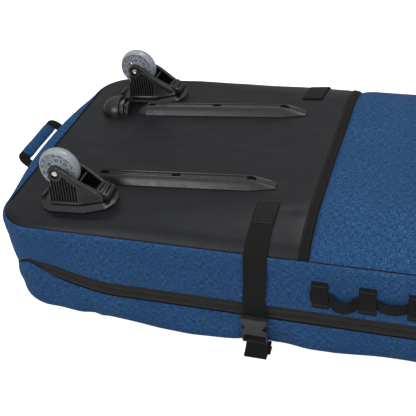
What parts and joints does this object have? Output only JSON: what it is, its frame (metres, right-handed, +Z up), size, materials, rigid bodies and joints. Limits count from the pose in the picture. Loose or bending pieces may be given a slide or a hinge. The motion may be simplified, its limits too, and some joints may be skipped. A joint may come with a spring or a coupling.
{
  "type": "wheeled snowboard bag",
  "caption": "Long padded snowboard bag on two inline wheels: fabric tub and zipped lid, coated deck with skid rails and bumpers, buckled strap, lashing loops and handles.",
  "frame": {"origin": "middle of the flat lid face that the bag rests on, at floor level", "axes": "+X along the bag from the wheel end to the tail end, +Y away from the zipped long side, +Z up; the bag lies on its lid with its wheels up"},
  "size_m": [1.7785, 0.5431, 0.288],
  "materials": {
    "blue_fabric": "matt melange polyester with a fine woven texture",
    "coated_black": "satin coated tarpaulin",
    "webbing": "matt woven webbing",
    "zip_tape": "matt coated zip tape with a nylon coil",
    "lining": "matt light lining fabric",
    "board": "plain plastic sheet",
    "black_plastic": "fine moulded texture",
    "clear_tyre": "glossy translucent polyurethane",
    "clear_hub": "glossy smoky grey plastic",
    "steel": "bright plated",
    "slider_metal": "black plated"
  },
  "bodies": {
    "lid": {"lid_panel": "blue_fabric", "lid_liner": "lining", "lid_wall": "blue_fabric", "zip_tape_lower": "zip_tape", "hinge_gusset": "blue_fabric", "buckle_male": "black_plastic", "strap_lower": "webbing"},
    "tub": {"deck_panel_black": "coated_black", "deck_panel_blue": "blue_fabric", "seam_binding": "webbing", "tub_wall": "blue_fabric", "zip_tape_upper": "zip_tape", "tub_liner": "lining", "stiffener_board": "board", "board_strap_front": "webbing", "board_strap_rear": "webbing", "skid_rail_near": "black_plastic", "rail_screw_near_1": "slider_metal", "rail_screw_near_2": "slider_metal", "rail_screw_near_3": "slider_metal", "kerb_bumper_near": "black_plastic", "bracket_base_near": "black_plastic", "wheel_fork_near": "black_plastic", "axle_bolt_near": "steel", "skid_rail_far": "black_plastic", "rail_screw_far_1": "slider_metal", "rail_screw_far_2": "slider_metal", "rail_screw_far_3": "slider_metal", "kerb_bumper_far": "black_plastic", "bracket_base_far": "black_plastic", "wheel_fork_far": "black_plastic", "axle_bolt_far": "steel", "strap_near": "webbing", "strap_far": "webbing", "buckle_female": "black_plastic", "daisy_ribbon": "webbing", "daisy_tab_1": "webbing", "daisy_tab_2": "webbing", "daisy_tab_3": "webbing"},
    "wheel_near": {"wheel_tyre_near": "clear_tyre", "wheel_hub_near": "clear_hub", "wheel_bearing_near_outer": "steel", "wheel_bearing_near_inner": "steel"},
    "wheel_far": {"wheel_tyre_far": "clear_tyre", "wheel_hub_far": "clear_hub", "wheel_bearing_far_outer": "steel", "wheel_bearing_far_inner": "steel"},
    "end_handle": {"end_handle_webbing": "webbing", "end_handle_sleeve": "blue_fabric"},
    "tail_handle": {"tail_handle_webbing": "webbing"},
    "carry_handle": {"carry_handle_webbing": "webbing", "carry_handle_sleeve": "blue_fabric"},
    "slider_a": {"zip_slider_a": "slider_metal"},
    "puller_a": {"zip_puller_a": "black_plastic"},
    "slider_b": {"zip_slider_b": "slider_metal"},
    "puller_b": {"zip_puller_b": "black_plastic"},
    "prong_left": {"buckle_prong_left": "black_plastic"},
    "prong_right": {"buckle_prong_right": "black_plastic"}
  },
  "joints": [
    {"name": "clamshell_open", "type": "hinge", "parent": "lid", "child": "tub", "pos_m": [0, 0.254, 0.073], "axis": [-1, 0, 0], "range_deg": [0, 110]},
    {"name": "wheel_near_spin", "type": "hinge", "parent": "tub", "child": "wheel_near", "pos_m": [-0.73194, -0.1765, 0.25187], "axis": [0, 1, 0], "continuous": true},
    {"name": "wheel_far_spin", "type": "hinge", "parent": "tub", "child": "wheel_far", "pos_m": [-0.73194, 0.1765, 0.25187], "axis": [0, 1, 0], "continuous": true},
    {"name": "end_handle_swing", "type": "hinge", "parent": "tub", "child": "end_handle", "pos_m": [-0.8555, 0, 0.165], "axis": [0, 1, 0], "range_deg": [-110, 38]},
    {"name": "tail_handle_swing", "type": "hinge", "parent": "tub", "child": "tail_handle", "pos_m": [0.8555, 0, 0.165], "axis": [0, -1, 0], "range_deg": [-110, 38]},
    {"name": "carry_handle_swing", "type": "hinge", "parent": "tub", "child": "carry_handle", "pos_m": [0.06, -0.255, 0.168], "axis": [-1, 0, 0], "range_deg": [0, 150]},
    {"name": "slider_a_slide", "type": "slide", "parent": "lid", "child": "slider_a", "axis": [1, 0, 0], "range_m": [-0.5, 0]},
    {"name": "slider_b_slide", "type": "slide", "parent": "lid", "child": "slider_b", "axis": [1, 0, 0], "range_m": [0, 0.34]},
    {"name": "puller_a_swing", "type": "hinge", "parent": "slider_a", "child": "puller_a", "pos_m": [0.215, -0.2602, 0.073], "axis": [0, 0, 1], "range_deg": [0, 150]},
    {"name": "puller_b_swing", "type": "hinge", "parent": "slider_b", "child": "puller_b", "pos_m": [0.262, -0.2602, 0.073], "axis": [0, 0, -1], "range_deg": [0, 150]},
    {"name": "prong_left_squeeze", "type": "hinge", "parent": "lid", "child": "prong_left", "pos_m": [-0.409, -0.2645, 0.0305], "axis": [0, 1, 0], "range_deg": [0, 5]},
    {"name": "prong_right_squeeze", "type": "hinge", "parent": "lid", "child": "prong_right", "pos_m": [-0.387, -0.2645, 0.0305], "axis": [0, -1, 0], "range_deg": [0, 5]}
  ],
  "couplings": [
    {"joint": "prong_right_squeeze", "follows": "prong_left_squeeze", "ratio": 1}
  ]
}
